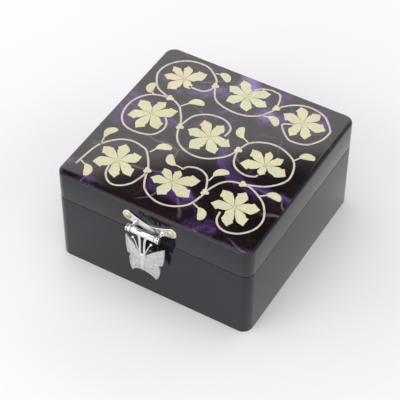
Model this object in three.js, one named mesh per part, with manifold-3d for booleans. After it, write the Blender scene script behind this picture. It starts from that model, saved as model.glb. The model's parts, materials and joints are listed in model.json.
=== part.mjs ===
// Square lacquered jewellery box: hinged lid, paper-covered top with shell inlay, butterfly hasp.
// Millimetres, +Z up. Origin at the centre of the underside; the hasp is on the front, toward -Y.
import * as THREE from "three";
import { mergeVertices } from "three/addons/utils/BufferGeometryUtils.js";
import Module from "manifold-3d";

const wasm = await Module();
wasm.setup();

// Driving dimensions of the case
const WIDTH = 120;
const DEPTH = 120;
const WALL = 7;
const CORNER_RADIUS = 6;
const SEAM_HEIGHT = 44.2;
const SEAM_GAP = 0.4;
const LID_HEIGHT = 18.1;
const TOP_THICKNESS = 5.5;
const PAPER_THICKNESS = 0.3;
const INLAY_THICKNESS = 0.2;
const PAPER_MARGIN = 1.1;
const BOTTOM_THICKNESS = 5;
const FELT_THICKNESS = 1;
const CLEARANCE = 0.3;

// Driving dimensions of the inside
const LINING_THICKNESS = 1.2;
const LINING_DROP = 1.2;
const PAD_THICKNESS = 2.4;
const DIVIDER_THICKNESS = 3;
const DIVIDER_HEIGHT = 28;
const DIVIDER_Y = 6;
const ROLL_COUNT = 5;
const ROLL_HEIGHT = 12;
const MIRROR_SIZE = 84;
const MIRROR_THICKNESS = 2;
const MIRROR_FRAME_WIDTH = 6;
const LID_PANEL_THICKNESS = 1.5;

// Driving dimensions of the hinges
const HINGE_OFFSET = 32;
const LEAF_WIDTH = 18;
const LEAF_HEIGHT = 10;
const LEAF_THICKNESS = 0.8;
const KNUCKLE_RADIUS = 1.6;
const KNUCKLE_LENGTH = 5.8;
const HINGE_PIN_RADIUS = 0.7;
const SCREW_RADIUS = 0.8;
const SCREW_HEAD_RADIUS = 1.4;
const SCREW_LENGTH = 4.5;
const SCREW_SPREAD = 5.5;

// Driving dimensions of the latch
const PLATE_THICKNESS = 1.1;
const LOBE_OFFSET = 13.2;
const LOBE_ABOVE_SEAM = 11;
const LOBE_RADIUS = 3.3;
const NAIL_RADIUS = 2.2;
const NAIL_SHANK_RADIUS = 0.7;
const LATCH_PIN_ABOVE_SEAM = 9.2;
const LATCH_PIN_FORWARD = 7;
const LATCH_PIN_RADIUS = 0.8;
const EAR_OFFSET = 8.25;
const EAR_THICKNESS = 1.5;
const HASP_KNUCKLE_RADIUS = 1.9;
const HASP_FORWARD = 8.4;
const STEM_OFFSET = 1.35;
const STEM_WIDTH = 1.5;
const WING_THICKNESS = 1;
const WING_SWEEP = THREE.MathUtils.degToRad(13.6);
const BUTTERFLY_BELOW_SEAM = 11.8;
const STUD_BELOW_SEAM = 11.2;
const STUD_HEAD_RADIUS = 2.2;

// Driving dimensions of the inlay: flower centres in rows from the back, and ring radius
const FLOWER_ROWS = [
  [[-38.2, 39.1], [-0.8, 44.0], [36.8, 41.4]],
  [[-39.0, 5.0], [-2.4, 5.3], [33.8, 0.8]],
  [[-36.5, -34.6], [-1.4, -33.0], [35.1, -34.0]],
];
const FLOWER_RADIUS = 12;
const FLOWER_PETALS = 6;
const VINE_RADIUS = 15.4;
const VINE_WIDTH = 1.2;

// Places worked out from them
const halfWidth = WIDTH / 2;
const halfDepth = DEPTH / 2;
const innerX = halfWidth - WALL;
const innerY = halfDepth - WALL;
const corner = Math.min(CORNER_RADIUS, WALL - CLEARANCE);
const lidBottom = SEAM_HEIGHT + SEAM_GAP;
const topPanelTop = SEAM_HEIGHT + SEAM_GAP + LID_HEIGHT - PAPER_THICKNESS;
const topPanelBottom = topPanelTop - TOP_THICKNESS;
const floorTop = FELT_THICKNESS + BOTTOM_THICKNESS;
const hingeY = halfDepth + KNUCKLE_RADIUS + CLEARANCE;
const hingeZ = SEAM_HEIGHT + SEAM_GAP / 2;
const latchPinY = -halfDepth - LATCH_PIN_FORWARD;
const haspY = -halfDepth - HASP_FORWARD;
const lobeZ = SEAM_HEIGHT + LOBE_ABOVE_SEAM;
const latchPinZ = SEAM_HEIGHT + LATCH_PIN_ABOVE_SEAM;
const butterflyZ = SEAM_HEIGHT - BUTTERFLY_BELOW_SEAM;
const studZ = SEAM_HEIGHT - STUD_BELOW_SEAM;

const X = new THREE.Vector3(1, 0, 0);
const Y = new THREE.Vector3(0, 1, 0);
const Z = new THREE.Vector3(0, 0, 1);

// Finishes
function finish(color, roughness, metalness = 0) {
  return () => new THREE.MeshStandardMaterial({ color, roughness, metalness });
}
const lacquer = finish(0x17141a, 0.12);
const paper = finish(0x4a3550, 0.3);
const shell = finish(0xd8d4b8, 0.25);
const velvet = finish(0x3c1f4a, 0.95);
const felt = finish(0x1b1b1d, 0.95);
const nickel = finish(0xd0d0d2, 0.2, 1);
const brass = finish(0xb9a868, 0.3, 1);
const mirrorGlass = finish(0xe8ecee, 0.03, 1);

// A geometry as a solid whose faces point out
function solidOf(geometry) {
  const bare = geometry.clone();
  bare.deleteAttribute("normal");
  bare.deleteAttribute("uv");
  const merged = mergeVertices(bare, 1e-4);
  const triVerts = new Uint32Array(merged.index.array);
  const vertProperties = new Float32Array(merged.attributes.position.array);
  const made = new wasm.Manifold(new wasm.Mesh({ numProp: 3, vertProperties, triVerts }));
  if (made.volume() >= 0) return made;
  for (let i = 0; i < triVerts.length; i += 3) {
    [triVerts[i + 1], triVerts[i + 2]] = [triVerts[i + 2], triVerts[i + 1]];
  }
  return new wasm.Manifold(new wasm.Mesh({ numProp: 3, vertProperties, triVerts }));
}

function geometryOf(solid) {
  const mesh = solid.getMesh();
  const geometry = new THREE.BufferGeometry();
  geometry.setAttribute("position", new THREE.BufferAttribute(mesh.vertProperties, 3));
  geometry.setIndex(new THREE.BufferAttribute(mesh.triVerts, 1));
  geometry.computeVertexNormals();
  return geometry;
}

function join(...geometries) {
  return geometryOf(geometries.map(solidOf).reduce((sum, next) => sum.add(next)));
}

function cut(geometry, ...tools) {
  return geometryOf(tools.map(solidOf).reduce((left, tool) => left.subtract(tool), solidOf(geometry)));
}

function add(group, name, geometry, makeMaterial) {
  const mesh = new THREE.Mesh(geometry, makeMaterial());
  mesh.name = name;
  group.add(mesh);
}

// Plain shapes between given faces
function block(x0, x1, y0, y1, z0, z1) {
  const made = new THREE.BoxGeometry(x1 - x0, y1 - y0, z1 - z0);
  return made.translate((x0 + x1) / 2, (y0 + y1) / 2, (z0 + z1) / 2);
}

function rodAlongY(radius, x, z, y0, y1) {
  const made = new THREE.CylinderGeometry(radius, radius, y1 - y0, 16);
  return made.translate(x, (y0 + y1) / 2, z);
}

function rodAlongX(radius, y, z, x0, x1) {
  const made = new THREE.CylinderGeometry(radius, radius, x1 - x0, 16).rotateZ(Math.PI / 2);
  return made.translate((x0 + x1) / 2, y, z);
}

function slab(shape, z0, thickness) {
  const made = new THREE.ExtrudeGeometry(shape, { depth: thickness, bevelEnabled: false, curveSegments: 8 });
  return made.translate(0, 0, z0);
}

// A shape drawn in X and Z, thickened toward -Y from a back face at y
function frontPlate(shape, y, thickness) {
  const made = new THREE.ExtrudeGeometry(shape, { depth: thickness, bevelEnabled: false, curveSegments: 6 });
  made.applyMatrix4(new THREE.Matrix4().makeBasis(X, Z, Y.clone().negate()));
  return made.translate(0, y, 0);
}

// A profile of radius and y, turned about an axis along Y
function turned(profile, x, z) {
  const made = new THREE.LatheGeometry(profile.map(([r, y]) => new THREE.Vector2(r, y)), 20);
  return made.translate(x, 0, z);
}

// The case: front and back boards carry the rounded corners, side boards stand between them
function endBoard(z0, height) {
  const outline = new THREE.Shape();
  outline.moveTo(-halfWidth, -innerY);
  outline.lineTo(-halfWidth, -halfDepth + corner);
  outline.absarc(-halfWidth + corner, -halfDepth + corner, corner, Math.PI, Math.PI * 1.5);
  outline.lineTo(halfWidth - corner, -halfDepth);
  outline.absarc(halfWidth - corner, -halfDepth + corner, corner, Math.PI * 1.5, Math.PI * 2);
  outline.lineTo(halfWidth, -innerY);
  return slab(outline, z0, height);
}

function roundedSquare(inset) {
  const x = halfWidth - inset;
  const y = halfDepth - inset;
  const r = Math.max(corner - inset, 1);
  const outline = new THREE.Shape();
  outline.absarc(x - r, y - r, r, 0, Math.PI / 2);
  outline.absarc(-x + r, y - r, r, Math.PI / 2, Math.PI);
  outline.absarc(-x + r, -y + r, r, Math.PI, Math.PI * 1.5);
  outline.absarc(x - r, -y + r, r, Math.PI * 1.5, Math.PI * 2);
  return outline;
}

// Heights of the screw rows in the base leaf and in the lid leaf
const baseScrewZ = hingeZ - KNUCKLE_RADIUS - LEAF_HEIGHT / 2;
const lidScrewZ = hingeZ + KNUCKLE_RADIUS + LEAF_HEIGHT / 2;

function screwPlaces(z) {
  return [-1, 1].flatMap((side) => [-1, 1].map((end) => [side * HINGE_OFFSET + end * SCREW_SPREAD, z]));
}

function screwHole([x, z]) {
  return rodAlongY(SCREW_RADIUS + CLEARANCE, x, z, halfDepth - SCREW_LENGTH, halfDepth + 2);
}

function addCase(group, part, z0, height, screwZ, frontHoles) {
  const front = cut(endBoard(z0, height), ...frontHoles);
  const back = cut(endBoard(z0, height).rotateZ(Math.PI), ...screwPlaces(screwZ).map(screwHole));
  add(group, part + "_front_board", front, lacquer);
  add(group, part + "_back_board", back, lacquer);
  add(group, part + "_left_board", block(-halfWidth, -innerX, -innerY, innerY, z0, z0 + height), lacquer);
  add(group, part + "_right_board", block(innerX, halfWidth, -innerY, innerY, z0, z0 + height), lacquer);
}

// Velvet inside the base
function addLining(group) {
  const x = innerX;
  const y = innerY;
  const t = LINING_THICKNESS;
  const top = SEAM_HEIGHT - LINING_DROP;
  add(group, "lining_front", block(-x, x, -y, -y + t, floorTop, top), velvet);
  add(group, "lining_back", block(-x, x, y - t, y, floorTop, top), velvet);
  add(group, "lining_left", block(-x, -x + t, -y + t, y - t, floorTop, top), velvet);
  add(group, "lining_right", block(x - t, x, -y + t, y - t, floorTop, top), velvet);
  add(group, "floor_pad", block(-x + t, x - t, -y + t, y - t, floorTop, floorTop + PAD_THICKNESS), velvet);
}

function rollProfile(width, height) {
  const outline = new THREE.Shape();
  const r = width / 2;
  outline.moveTo(-r, 0);
  outline.lineTo(r, 0);
  outline.lineTo(r, height - r);
  outline.absarc(0, height - r, r, 0, Math.PI);
  return outline;
}

function addTray(group) {
  const x = innerX - LINING_THICKNESS;
  const z0 = floorTop + PAD_THICKNESS;
  const dividerFront = DIVIDER_Y - DIVIDER_THICKNESS / 2;
  const divider = block(-x, x, dividerFront, dividerFront + DIVIDER_THICKNESS, z0, z0 + DIVIDER_HEIGHT);
  add(group, "divider", divider, velvet);
  const front = -innerY + LINING_THICKNESS;
  const pitch = (dividerFront - front) / ROLL_COUNT;
  const length = 2 * (x - CLEARANCE);
  for (let i = 0; i < ROLL_COUNT; i++) {
    const shape = rollProfile(pitch - CLEARANCE, ROLL_HEIGHT);
    const roll = new THREE.ExtrudeGeometry(shape, { depth: length, bevelEnabled: false, curveSegments: 8 });
    roll.applyMatrix4(new THREE.Matrix4().makeBasis(Y, Z, X));
    roll.translate(-length / 2, front + pitch * (i + 0.5), z0);
    add(group, "ring_roll_" + (i + 1), roll, velvet);
  }
}

// Mirror in the lid, held in a frame on a velvet panel
function addMirror(group) {
  const panelBottom = topPanelBottom - LID_PANEL_THICKNESS;
  add(group, "lid_lining_panel", block(-innerX, innerX, -innerY, innerY, panelBottom, topPanelBottom), velvet);
  const half = MIRROR_SIZE / 2;
  const mirrorBottom = panelBottom - MIRROR_THICKNESS;
  add(group, "mirror", block(-half, half, -half, half, mirrorBottom, panelBottom), mirrorGlass);
  const hole = half + CLEARANCE;
  const outer = hole + MIRROR_FRAME_WIDTH;
  const frame = cut(
    block(-outer, outer, -outer, outer, mirrorBottom, panelBottom),
    block(-hole, hole, -hole, hole, mirrorBottom - 1, panelBottom + 1),
  );
  add(group, "mirror_frame", frame, lacquer);
}

// Hinges: the base leaf has the two outer knuckles, the lid leaf the middle one
function leaf(x, direction, knuckles) {
  const back = halfDepth + LEAF_THICKNESS;
  const near = hingeZ + direction * (KNUCKLE_RADIUS + CLEARANCE);
  const far = hingeZ + direction * (KNUCKLE_RADIUS + LEAF_HEIGHT);
  const half = LEAF_WIDTH / 2;
  const [bottom, top] = [near, far].sort((a, b) => a - b);
  const [low, high] = [near + direction, hingeZ].sort((a, b) => a - b);
  const pieces = [block(x - half, x + half, halfDepth, back, bottom, top)];
  for (const [x0, x1] of knuckles) {
    pieces.push(block(x + x0, x + x1, halfDepth, back, low, high));
    pieces.push(rodAlongX(KNUCKLE_RADIUS, hingeY, hingeZ, x + x0, x + x1));
  }
  const bore = rodAlongX(HINGE_PIN_RADIUS + CLEARANCE, hingeY, hingeZ, x - LEAF_WIDTH, x + LEAF_WIDTH);
  return cut(join(...pieces), bore);
}

function addHinges(baseGroup, lidGroup) {
  const middle = KNUCKLE_LENGTH / 2;
  const outer = LEAF_WIDTH / 2;
  const inner = middle + CLEARANCE;
  [["left", -HINGE_OFFSET], ["right", HINGE_OFFSET]].forEach(([side, x]) => {
    const baseHoles = screwPlaces(baseScrewZ).map(screwHole);
    const lidHoles = screwPlaces(lidScrewZ).map(screwHole);
    const baseLeaf = cut(leaf(x, -1, [[-outer, -inner], [inner, outer]]), ...baseHoles);
    const lidLeaf = cut(leaf(x, 1, [[-middle, middle]]), ...lidHoles);
    add(baseGroup, "hinge_base_leaf_" + side, baseLeaf, brass);
    add(lidGroup, "hinge_lid_leaf_" + side, lidLeaf, brass);
    add(baseGroup, "hinge_pin_" + side, rodAlongX(HINGE_PIN_RADIUS, hingeY, hingeZ, x - outer, x + outer), brass);
  });
  addScrews(baseGroup, "base", baseScrewZ);
  addScrews(lidGroup, "lid", lidScrewZ);
}

function addScrews(group, part, z) {
  const seat = halfDepth + LEAF_THICKNESS;
  const profile = [
    [0, halfDepth - SCREW_LENGTH + CLEARANCE],
    [SCREW_RADIUS, halfDepth - SCREW_LENGTH + 1],
    [SCREW_RADIUS, seat],
    [SCREW_HEAD_RADIUS, seat],
    [SCREW_HEAD_RADIUS * 0.8, seat + 0.45],
    [0, seat + 0.6],
  ];
  screwPlaces(z).forEach(([x], i) => {
    add(group, "hinge_screw_" + part + "_" + (i + 1), turned(profile, x, z), brass);
  });
}

// Latch plate on the lid: two round lobes, a notched top edge, and two ears for the pin
function plateOutline() {
  const lobe = LOBE_OFFSET;
  const r = LOBE_RADIUS;
  const notchZ = lobeZ - 1.6;
  const bottomZ = lobeZ - 7;
  const outline = new THREE.Shape();
  outline.moveTo(0, notchZ);
  outline.quadraticCurveTo(-lobe * 0.4, notchZ + 0.6, -lobe, lobeZ + r);
  outline.absarc(-lobe, lobeZ, r, Math.PI / 2, Math.PI * 1.5);
  outline.quadraticCurveTo(-lobe * 0.45, bottomZ + 2.6, 0, bottomZ);
  outline.quadraticCurveTo(lobe * 0.45, bottomZ + 2.6, lobe, lobeZ - r);
  outline.absarc(lobe, lobeZ, r, -Math.PI / 2, Math.PI / 2);
  outline.quadraticCurveTo(lobe * 0.4, notchZ + 0.6, 0, notchZ);
  return outline;
}

function nailHole(side, depth) {
  const radius = NAIL_SHANK_RADIUS + CLEARANCE;
  return rodAlongY(radius, side * LOBE_OFFSET, lobeZ, -halfDepth - 2, -halfDepth + depth);
}

function ear(side) {
  const x = side * EAR_OFFSET;
  const half = EAR_THICKNESS / 2;
  const radius = HASP_KNUCKLE_RADIUS;
  const bar = block(x - half, x + half, latchPinY, -halfDepth, latchPinZ - radius, latchPinZ + radius);
  return join(bar, rodAlongX(radius, latchPinY, latchPinZ, x - half, x + half));
}

function addLatchPlate(group) {
  const bore = rodAlongX(LATCH_PIN_RADIUS + CLEARANCE, latchPinY, latchPinZ, -halfWidth, halfWidth);
  const body = join(frontPlate(plateOutline(), -halfDepth, PLATE_THICKNESS), ear(-1), ear(1));
  add(group, "latch_plate", cut(body, bore, nailHole(-1, 1), nailHole(1, 1)), nickel);
  const seat = -halfDepth - PLATE_THICKNESS;
  const profile = [
    [0, seat - 1.2],
    [NAIL_RADIUS * 0.65, seat - 0.85],
    [NAIL_RADIUS, seat],
    [NAIL_SHANK_RADIUS, seat],
    [NAIL_SHANK_RADIUS, -halfDepth + 3.4],
    [0, -halfDepth + 4],
  ];
  add(group, "latch_nail_left", turned(profile, -LOBE_OFFSET, lobeZ), brass);
  add(group, "latch_nail_right", turned(profile, LOBE_OFFSET, lobeZ), brass);
}

function addLatchPin(group) {
  const inner = EAR_OFFSET + EAR_THICKNESS / 2 + CLEARANCE;
  const discs = [-1, 1].map((side) => {
    const ends = [side * inner, side * (inner + 1)].sort((a, b) => a - b);
    return rodAlongX(STUD_HEAD_RADIUS, latchPinY, latchPinZ, ...ends);
  });
  const shaft = rodAlongX(LATCH_PIN_RADIUS, latchPinY, latchPinZ, -inner - 0.5, inner + 0.5);
  add(group, "latch_pin", join(shaft, ...discs), nickel);
}

// Butterfly hasp: knuckle on the pin, twin stems, body, head and swept wings
function wingOutline() {
  const z = butterflyZ;
  const outline = new THREE.Shape();
  outline.moveTo(0.2, z + 4.6);
  outline.quadraticCurveTo(5, z + 12, 10.8, z + 13.4);
  outline.quadraticCurveTo(13.6, z + 8, 10.8, z + 1.6);
  outline.lineTo(8, z + 0.5);
  outline.quadraticCurveTo(11, z - 2, 9.8, z - 7);
  outline.quadraticCurveTo(8.8, z - 11.6, 7, z - 11);
  outline.quadraticCurveTo(4.4, z - 7, 0.2, z - 5.2);
  return outline;
}

function wing(side) {
  const flat = frontPlate(wingOutline(), WING_THICKNESS / 2, WING_THICKNESS);
  if (side < 0) flat.rotateZ(Math.PI);
  return flat.rotateZ(side * WING_SWEEP).translate(0, haspY, 0);
}

function addHasp(group) {
  const pinZ = latchPinZ;
  const length = EAR_OFFSET - EAR_THICKNESS / 2 - CLEARANCE;
  const knuckle = rodAlongX(HASP_KNUCKLE_RADIUS, latchPinY, pinZ, -length, length);
  const stems = [-1, 1].map((side) => {
    const x = side * STEM_OFFSET;
    return block(x - STEM_WIDTH / 2, x + STEM_WIDTH / 2, haspY - 0.7, haspY + 0.5, butterflyZ + 4, pinZ);
  });
  const body = new THREE.SphereGeometry(1, 16, 12).scale(1.4, 1.2, 6.3).translate(0, haspY, butterflyZ);
  const head = new THREE.SphereGeometry(1.5, 12, 8).translate(0, haspY, butterflyZ + 6);
  const bore = rodAlongX(LATCH_PIN_RADIUS + CLEARANCE, latchPinY, pinZ, -halfWidth, halfWidth);
  const whole = join(knuckle, ...stems, body, head, wing(-1), wing(1));
  add(group, "butterfly_hasp", cut(whole, bore), nickel);
}

// Stud in the base front board that the hasp closes on
const studFront = haspY + 1.2 + CLEARANCE;
const studShank = 1.2;

function studHole() {
  return rodAlongY(studShank + CLEARANCE, 0, studZ, -halfDepth - 1, -halfDepth + 5);
}

function addStud(group) {
  const profile = [
    [0, studFront],
    [STUD_HEAD_RADIUS * 0.8, studFront + 0.5],
    [STUD_HEAD_RADIUS, studFront + 1.5],
    [1.5, studFront + 2.6],
    [1.5, -halfDepth - 1],
    [STUD_HEAD_RADIUS, -halfDepth - 1],
    [STUD_HEAD_RADIUS, -halfDepth],
    [studShank, -halfDepth],
    [studShank, -halfDepth + 4],
    [0, -halfDepth + 4.6],
  ];
  add(group, "catch_stud", turned(profile, 0, studZ), nickel);
}

// Inlay: one rosette plate for each flower, and a row of vine rings for each three flowers
function flowerOutline([cx, cy]) {
  const outline = new THREE.Shape();
  const steps = FLOWER_PETALS * 8;
  for (let i = 0; i < steps; i++) {
    const angle = (i / steps) * Math.PI * 2;
    const lobe = Math.abs(Math.cos((angle * FLOWER_PETALS) / 2));
    const r = FLOWER_RADIUS * (0.72 + 0.28 * lobe);
    outline[i ? "lineTo" : "moveTo"](cx + r * Math.cos(angle), cy + r * Math.sin(angle));
  }
  return outline;
}

function vineRing([cx, cy]) {
  const outline = new THREE.Shape();
  outline.absarc(cx, cy, VINE_RADIUS + VINE_WIDTH / 2, 0, Math.PI * 2);
  const hole = new THREE.Path();
  hole.absarc(cx, cy, VINE_RADIUS - VINE_WIDTH / 2, 0, Math.PI * 2);
  outline.holes.push(hole);
  return new THREE.ExtrudeGeometry(outline, { depth: INLAY_THICKNESS, bevelEnabled: false, curveSegments: 24 });
}

function vineLink([x0, y0], [x1, y1]) {
  const length = Math.hypot(x1 - x0, y1 - y0) - 2 * VINE_RADIUS;
  const bar = new THREE.BoxGeometry(length, VINE_WIDTH, INLAY_THICKNESS);
  bar.rotateZ(Math.atan2(y1 - y0, x1 - x0));
  return bar.translate((x0 + x1) / 2, (y0 + y1) / 2, INLAY_THICKNESS / 2);
}

function addTop(group) {
  const paperTop = topPanelTop + PAPER_THICKNESS;
  add(group, "lid_top_panel", slab(roundedSquare(0), topPanelBottom, TOP_THICKNESS), lacquer);
  add(group, "top_paper", slab(roundedSquare(PAPER_MARGIN), topPanelTop, PAPER_THICKNESS), paper);
  FLOWER_ROWS.forEach((row, r) => {
    row.forEach((place, i) => {
      const plate = slab(flowerOutline(place), paperTop, INLAY_THICKNESS);
      add(group, "inlay_flower_" + (r * row.length + i + 1), plate, shell);
    });
    const links = row.slice(1).map((place, i) => vineLink(row[i], place));
    const vine = join(...row.map(vineRing), ...links).translate(0, 0, paperTop);
    add(group, "inlay_vine_" + (r + 1), vine, shell);
  });
}

function addBottom(group) {
  const t = FELT_THICKNESS;
  add(group, "bottom_felt", block(-innerX, innerX, -innerY, innerY, 0, t), felt);
  add(group, "bottom_panel", block(-innerX, innerX, -innerY, innerY, t, floorTop), lacquer);
}

const jewelleryBox = new THREE.Group();
const base = new THREE.Group();
const lid = new THREE.Group();
jewelleryBox.add(base, lid);

addCase(base, "base", 0, SEAM_HEIGHT, baseScrewZ, [studHole()]);
addBottom(base);
addLining(base);
addTray(base);
addStud(base);
addCase(lid, "lid", lidBottom, topPanelBottom - lidBottom, lidScrewZ, [nailHole(-1, 5), nailHole(1, 5)]);
addTop(lid);
addMirror(lid);
addHinges(base, lid);
addLatchPlate(lid);
addLatchPin(lid);
addHasp(lid);

export default jewelleryBox;
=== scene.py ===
import json
import math

import bmesh
import bpy
from mathutils import Matrix, Vector


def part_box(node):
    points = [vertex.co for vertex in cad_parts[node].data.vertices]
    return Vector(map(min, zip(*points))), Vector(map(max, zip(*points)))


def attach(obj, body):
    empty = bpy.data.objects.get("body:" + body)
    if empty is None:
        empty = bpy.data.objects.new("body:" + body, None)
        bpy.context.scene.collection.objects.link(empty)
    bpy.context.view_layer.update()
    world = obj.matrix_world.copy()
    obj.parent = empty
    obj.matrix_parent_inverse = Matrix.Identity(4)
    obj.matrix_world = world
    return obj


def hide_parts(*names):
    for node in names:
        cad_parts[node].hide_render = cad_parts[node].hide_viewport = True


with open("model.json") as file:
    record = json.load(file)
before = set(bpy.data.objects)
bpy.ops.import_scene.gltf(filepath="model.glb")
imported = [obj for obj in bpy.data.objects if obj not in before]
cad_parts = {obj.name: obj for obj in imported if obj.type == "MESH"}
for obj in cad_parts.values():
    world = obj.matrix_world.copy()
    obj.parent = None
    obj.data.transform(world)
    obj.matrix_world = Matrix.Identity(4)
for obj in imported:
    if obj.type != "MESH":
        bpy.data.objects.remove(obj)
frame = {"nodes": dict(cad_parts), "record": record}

MM = 0.001
FULL_TURN = 2 * math.pi
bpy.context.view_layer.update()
nodes = frame["nodes"]

# Sizes of the case, read from the frame
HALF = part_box("lid_top_panel")[1].x
SEAM_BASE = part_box("base_left_board")[1].z
SEAM_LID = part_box("lid_left_board")[0].z
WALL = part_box("base_right_board")[1].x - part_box("base_right_board")[0].x
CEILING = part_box("lid_top_panel")[0].z
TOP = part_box("lid_top_panel")[1].z
PAPER_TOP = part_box("top_paper")[1].z
PAPER_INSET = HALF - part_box("top_paper")[1].x
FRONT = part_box("base_front_board")[0].y

# Roundings of the case
CORNER_RADIUS = 6 * MM
LEAST_RADIUS = 0.4 * MM
EDGE = 0.22 * MM
TOP_EDGE = 1.05 * MM
PAPER_EDGE = 0.2 * MM

# The camera, fitted to the edges of the photographed box; its shift is counted in sides of the box
BOX_SIDE = 120 * MM
FOCAL_SHARE = 1529.1 / 400
SENSOR_WIDTH = 36
AZIMUTH = math.radians(30.17)
ELEVATION = math.radians(46.27)
ROLL = math.radians(0.42)
FRAME_SHIFT = Vector((0.0338, -0.1087, -7.3092)) * BOX_SIDE

# Places of the colour sockets on a mix node
MIX_FIRST = 6
MIX_SECOND = 7
MIX_RESULT = 2


def place_camera():
    level = math.cos(ELEVATION)
    back = Vector((math.sin(AZIMUTH) * level, -math.cos(AZIMUTH) * level, math.sin(ELEVATION)))
    flat_right = Vector((math.cos(AZIMUTH), math.sin(AZIMUTH), 0))
    flat_up = back.cross(flat_right)
    right = math.cos(ROLL) * flat_right + math.sin(ROLL) * flat_up
    up = back.cross(right)
    turn = Matrix((right, up, back)).transposed()
    data = bpy.data.cameras.new("photo_camera")
    data.sensor_width = SENSOR_WIDTH
    data.lens = FOCAL_SHARE * SENSOR_WIDTH
    camera = bpy.data.objects.new("photo_camera", data)
    camera.matrix_world = Matrix.Translation(-(turn @ FRAME_SHIFT)) @ turn.to_4x4()
    bpy.context.scene.collection.objects.link(camera)
    bpy.context.scene.camera = camera


# Materials
def grey(level):
    return (level, level, level)


class Shader:
    """A material with its main shader, and short ways to add procedural nodes."""

    def __init__(self, name, color=(0.8, 0.8, 0.8), **sockets):
        self.material = bpy.data.materials.new(name)
        self.material.use_nodes = True
        self.tree = self.material.node_tree
        self.main = self.tree.nodes["Principled BSDF"]
        self.main.inputs["Base Color"].default_value = (*color, 1)
        for key, value in sockets.items():
            self.main.inputs[key.replace("_", " ")].default_value = value
        self.place = self.tree.nodes.new("ShaderNodeTexCoord").outputs["Object"]

    def node(self, kind, **values):
        made = self.tree.nodes.new(kind)
        for key, value in values.items():
            made.inputs[key.replace("_", " ")].default_value = value
        return made

    def link(self, source, target):
        self.tree.links.new(source, target)

    def noise(self, scale, detail=4, roughness=0.55, distortion=0):
        made = self.node(
            "ShaderNodeTexNoise", Scale=scale, Detail=detail, Roughness=roughness, Distortion=distortion
        )
        self.link(self.place, made.inputs["Vector"])
        return made.outputs["Fac"]

    def wandering_place(self, scale, wander):
        """The object's coordinates, pushed about by noise."""
        shift = self.node("ShaderNodeTexNoise", Scale=scale * 1.5)
        self.link(self.place, shift.inputs["Vector"])
        moved = self.tree.nodes.new("ShaderNodeVectorMath")
        moved.operation = "MULTIPLY_ADD"
        moved.inputs[1].default_value = grey(wander / scale)
        self.link(shift.outputs["Color"], moved.inputs[0])
        self.link(self.place, moved.inputs[2])
        return moved.outputs[0]

    def cells(self, scale, output="Color", feature="F1", wander=0):
        made = self.node("ShaderNodeTexVoronoi", Scale=scale)
        made.feature = feature
        place = self.wandering_place(scale, wander) if wander else self.place
        self.link(place, made.inputs["Vector"])
        return made.outputs[output]

    def ramp(self, source, *stops):
        made = self.tree.nodes.new("ShaderNodeValToRGB")
        elements = made.color_ramp.elements
        while len(elements) < len(stops):
            elements.new(0.5)
        for element, (position, color) in zip(elements, stops):
            element.position = position
            element.color = (*color, 1)
        self.link(source, made.inputs["Fac"])
        return made.outputs["Color"]

    def mix(self, factor, first, second):
        made = self.tree.nodes.new("ShaderNodeMix")
        made.data_type = "RGBA"
        self.link(factor, made.inputs["Factor"])
        self.link(first, made.inputs[MIX_FIRST])
        self.link(second, made.inputs[MIX_SECOND])
        return made.outputs[MIX_RESULT]

    def color(self, source):
        self.link(source, self.main.inputs["Base Color"])

    def rough(self, source, least, most):
        made = self.node("ShaderNodeMapRange", To_Min=least, To_Max=most)
        self.link(source, made.inputs["Value"])
        self.link(made.outputs["Result"], self.main.inputs["Roughness"])

    def bump(self, source, strength, distance):
        made = self.node("ShaderNodeBump", Strength=strength, Distance=distance)
        self.link(source, made.inputs["Height"])
        self.link(made.outputs["Normal"], self.main.inputs["Normal"])


def lacquer_material():
    """Black gloss lacquer with a faint blue cast."""
    made = Shader("lacquer", IOR=1.5)
    made.color(made.ramp(made.noise(18), (0.3, (0.003, 0.003, 0.006)), (0.7, (0.007, 0.007, 0.013))))
    made.rough(made.noise(60), 0.03, 0.08)
    made.bump(made.noise(45, 2), 0.05, 0.0003)
    return made.material


def paper_material():
    """Dark dyed paper with purple patches, fine fibres and pale creases, under clear lacquer."""
    made = Shader("paper", Coat_Weight=0.5, Coat_Roughness=0.06, IOR=1.45)
    dyed = made.ramp(
        made.noise(21, 5, 0.62, 1.1),
        (0.40, (0.004, 0.002, 0.002)),
        (0.51, (0.012, 0.005, 0.009)),
        (0.57, (0.060, 0.028, 0.110)),
        (0.68, (0.260, 0.150, 0.420)),
    )
    fibres = made.ramp(
        made.noise(190, 6, 0.7, 2.5),
        (0.46, (0.004, 0.002, 0.002)),
        (0.72, (0.060, 0.036, 0.046)),
    )
    fibre_share = made.ramp(made.noise(70, 4, 0.6, 1.5), (0.40, grey(0.05)), (0.68, grey(0.5)))
    crinkled = made.mix(fibre_share, dyed, fibres)
    creases = made.cells(34, "Distance", "DISTANCE_TO_EDGE", 0.35)
    crease_share = made.ramp(creases, (0.0, grey(0.42)), (0.03, grey(0.0)))
    pale = made.node("ShaderNodeRGB")
    pale.outputs[0].default_value = (0.30, 0.24, 0.28, 1)
    pale_share = made.ramp(made.noise(30), (0.48, grey(0)), (0.62, grey(1)))
    faded = made.mix(pale_share, crinkled, pale.outputs[0])
    made.color(made.mix(crease_share, crinkled, faded))
    made.rough(made.noise(150), 0.03, 0.09)
    made.bump(made.noise(120, 5, 0.6, 1.2), 0.08, 0.0002)
    return made.material


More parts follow.
